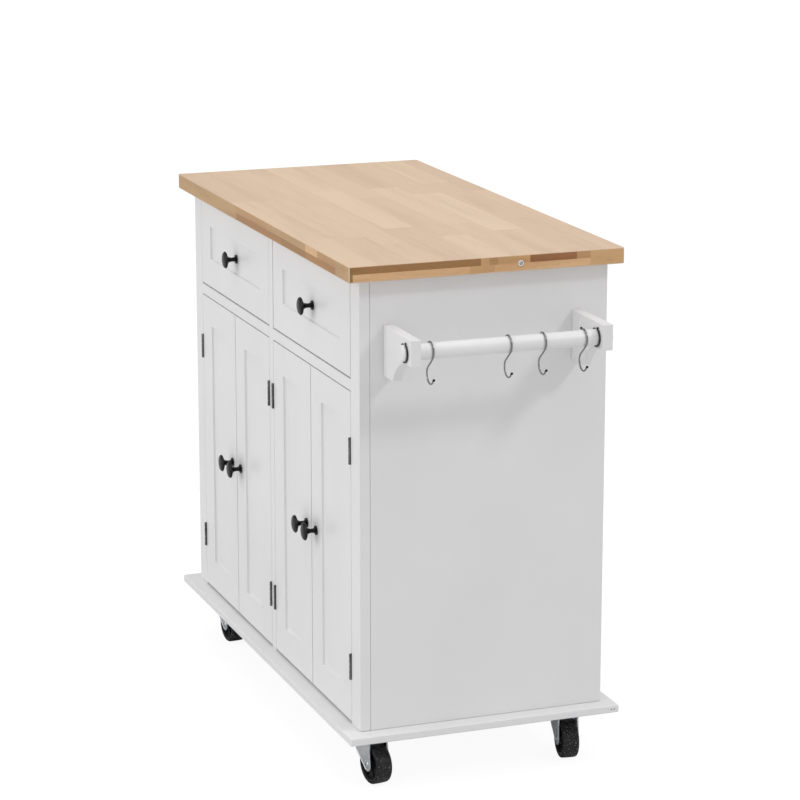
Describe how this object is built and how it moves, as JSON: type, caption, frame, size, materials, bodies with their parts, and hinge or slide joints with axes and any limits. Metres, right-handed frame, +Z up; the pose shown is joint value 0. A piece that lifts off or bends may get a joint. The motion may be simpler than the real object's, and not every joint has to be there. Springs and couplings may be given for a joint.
{
  "type": "kitchen island cart",
  "caption": "Kitchen island cart: white cabinet with inset doors and drawers, wooden worktop, side towel rail with hooks, on swivel casters.",
  "frame": {"origin": "on the floor, under the centre of the cart's box, which includes the towel rail", "axes": "+X to the right, towards the towel rail; -Y is the front with the doors and drawers; +Z up"},
  "size_m": [1.005, 0.453, 0.8395],
  "materials": {
    "worktop_wood": "finger-jointed rubberwood, oiled satin",
    "white_paint": "white satin paint on fibreboard",
    "drawer_laminate": "white laminate on board",
    "runner_wood": "plain sanded hardwood",
    "black_knob": "black powder coat, satin",
    "hinge_steel": "dark plated steel",
    "catch_plastic": "white moulded plastic",
    "zinc_steel": "bright zinc plate",
    "wheel_plastic": "black moulded wheel",
    "ring_wire": "black coated wire",
    "hook_wire": "dark plated wire with black tips",
    "plug_plastic": "off-white plastic"
  },
  "bodies": {
    "cabinet": {"worktop": "worktop_wood", "base_board": "white_paint", "side_panel_left": "white_paint", "side_panel_right": "white_paint", "back_panel": "white_paint", "centre_partition": "white_paint", "face_frame": "white_paint", "shelf_left": "white_paint", "shelf_right": "white_paint", "rail_bracket_front": "white_paint", "rail_bracket_rear": "white_paint", "towel_rod": "white_paint", "drawer_runner_left_inner": "runner_wood", "drawer_runner_left_outer": "runner_wood", "drawer_runner_right_inner": "runner_wood", "drawer_runner_right_outer": "runner_wood", "hinge_1_upper": "hinge_steel", "hinge_1_lower": "hinge_steel", "hinge_2_upper": "hinge_steel", "hinge_2_lower": "hinge_steel", "hinge_3_upper": "hinge_steel", "hinge_3_lower": "hinge_steel", "hinge_4_upper": "hinge_steel", "hinge_4_lower": "hinge_steel", "magnetic_catch_left": "catch_plastic", "magnetic_catch_right": "catch_plastic", "caster_plate_front_left": "zinc_steel", "caster_plate_front_right": "zinc_steel", "caster_plate_rear_left": "zinc_steel", "caster_plate_rear_right": "zinc_steel", "retaining_ring_front": "ring_wire", "retaining_ring_rear": "ring_wire", "worktop_edge_plug": "plug_plastic"},
    "drawer_left": {"drawer_front_left": "white_paint", "drawer_box_left": "drawer_laminate", "drawer_knob_left": "black_knob"},
    "drawer_right": {"drawer_front_right": "white_paint", "drawer_box_right": "drawer_laminate", "drawer_knob_right": "black_knob"},
    "door_1": {"door_1": "white_paint", "door_knob_1": "black_knob"},
    "door_2": {"door_2": "white_paint", "door_knob_2": "black_knob"},
    "door_3": {"door_3": "white_paint", "door_knob_3": "black_knob"},
    "door_4": {"door_4": "white_paint", "door_knob_4": "black_knob"},
    "caster_front_left_fork": {"caster_fork_front_left": "zinc_steel"},
    "caster_front_left_wheel": {"caster_wheel_front_left": "wheel_plastic"},
    "caster_front_right_fork": {"caster_fork_front_right": "zinc_steel"},
    "caster_front_right_wheel": {"caster_wheel_front_right": "wheel_plastic"},
    "caster_rear_left_fork": {"caster_fork_rear_left": "zinc_steel"},
    "caster_rear_left_wheel": {"caster_wheel_rear_left": "wheel_plastic"},
    "caster_rear_right_fork": {"caster_fork_rear_right": "zinc_steel"},
    "caster_rear_right_wheel": {"caster_wheel_rear_right": "wheel_plastic"},
    "hook_1": {"s_hook_1": "hook_wire"},
    "hook_2": {"s_hook_2": "hook_wire"},
    "hook_3": {"s_hook_3": "hook_wire"},
    "hook_4": {"s_hook_4": "hook_wire"}
  },
  "joints": [
    {"name": "drawer_left_slide", "type": "slide", "parent": "cabinet", "child": "drawer_left", "axis": [0, -1, 0], "range_m": [0, 0.27]},
    {"name": "drawer_right_slide", "type": "slide", "parent": "cabinet", "child": "drawer_right", "axis": [0, -1, 0], "range_m": [0, 0.27]},
    {"name": "door_1_hinge", "type": "hinge", "parent": "cabinet", "child": "door_1", "pos_m": [-0.43475, -0.2036, 0.366], "axis": [0, 0, -1], "range_deg": [0, 170]},
    {"name": "door_2_hinge", "type": "hinge", "parent": "cabinet", "child": "door_2", "pos_m": [-0.05625, -0.2036, 0.366], "axis": [0, 0, 1], "range_deg": [0, 85]},
    {"name": "door_3_hinge", "type": "hinge", "parent": "cabinet", "child": "door_3", "pos_m": [-0.03475, -0.2036, 0.366], "axis": [0, 0, -1], "range_deg": [0, 85]},
    {"name": "door_4_hinge", "type": "hinge", "parent": "cabinet", "child": "door_4", "pos_m": [0.34375, -0.2036, 0.366], "axis": [0, 0, 1], "range_deg": [0, 170]},
    {"name": "caster_front_left_swivel", "type": "hinge", "parent": "cabinet", "child": "caster_front_left_fork", "pos_m": [-0.42, -0.169, 0.08], "axis": [0, 0, 1], "continuous": true},
    {"name": "caster_front_left_roll", "type": "hinge", "parent": "caster_front_left_fork", "child": "caster_front_left_wheel", "pos_m": [-0.3941, -0.16673, 0.0315], "axis": [-0.0872, 0.9962, 0], "continuous": true},
    {"name": "caster_front_right_swivel", "type": "hinge", "parent": "cabinet", "child": "caster_front_right_fork", "pos_m": [0.329, -0.169, 0.08], "axis": [0, 0, 1], "continuous": true},
    {"name": "caster_front_right_roll", "type": "hinge", "parent": "caster_front_right_fork", "child": "caster_front_right_wheel", "pos_m": [0.35471, -0.16516, 0.0315], "axis": [-0.1478, 0.989, 0], "continuous": true},
    {"name": "caster_rear_left_swivel", "type": "hinge", "parent": "cabinet", "child": "caster_rear_left_fork", "pos_m": [-0.42, 0.165, 0.08], "axis": [0, 0, 1], "continuous": true},
    {"name": "caster_rear_left_roll", "type": "hinge", "parent": "caster_rear_left_fork", "child": "caster_rear_left_wheel", "pos_m": [-0.39414, 0.16228, 0.0315], "axis": [0.1045, 0.9945, 0], "continuous": true},
    {"name": "caster_rear_right_swivel", "type": "hinge", "parent": "cabinet", "child": "caster_rear_right_fork", "pos_m": [0.329, 0.165, 0.08], "axis": [0, 0, 1], "continuous": true},
    {"name": "caster_rear_right_roll", "type": "hinge", "parent": "caster_rear_right_fork", "child": "caster_rear_right_wheel", "pos_m": [0.35475, 0.16138, 0.0315], "axis": [0.1392, 0.9903, 0], "continuous": true},
    {"name": "hook_1_swing", "type": "hinge", "parent": "cabinet", "child": "hook_1", "pos_m": [0.478, -0.123, 0.7195], "axis": [0, 1, 0], "range_deg": [-45, 45]},
    {"name": "hook_2_swing", "type": "hinge", "parent": "cabinet", "child": "hook_2", "pos_m": [0.478, 0.002, 0.7195], "axis": [0, 1, 0], "range_deg": [-45, 45]},
    {"name": "hook_3_swing", "type": "hinge", "parent": "cabinet", "child": "hook_3", "pos_m": [0.478, 0.058, 0.7195], "axis": [0, 1, 0], "range_deg": [-45, 45]},
    {"name": "hook_4_swing", "type": "hinge", "parent": "cabinet", "child": "hook_4", "pos_m": [0.478, 0.125, 0.7195], "axis": [0, 1, 0], "range_deg": [-45, 45]}
  ]
}
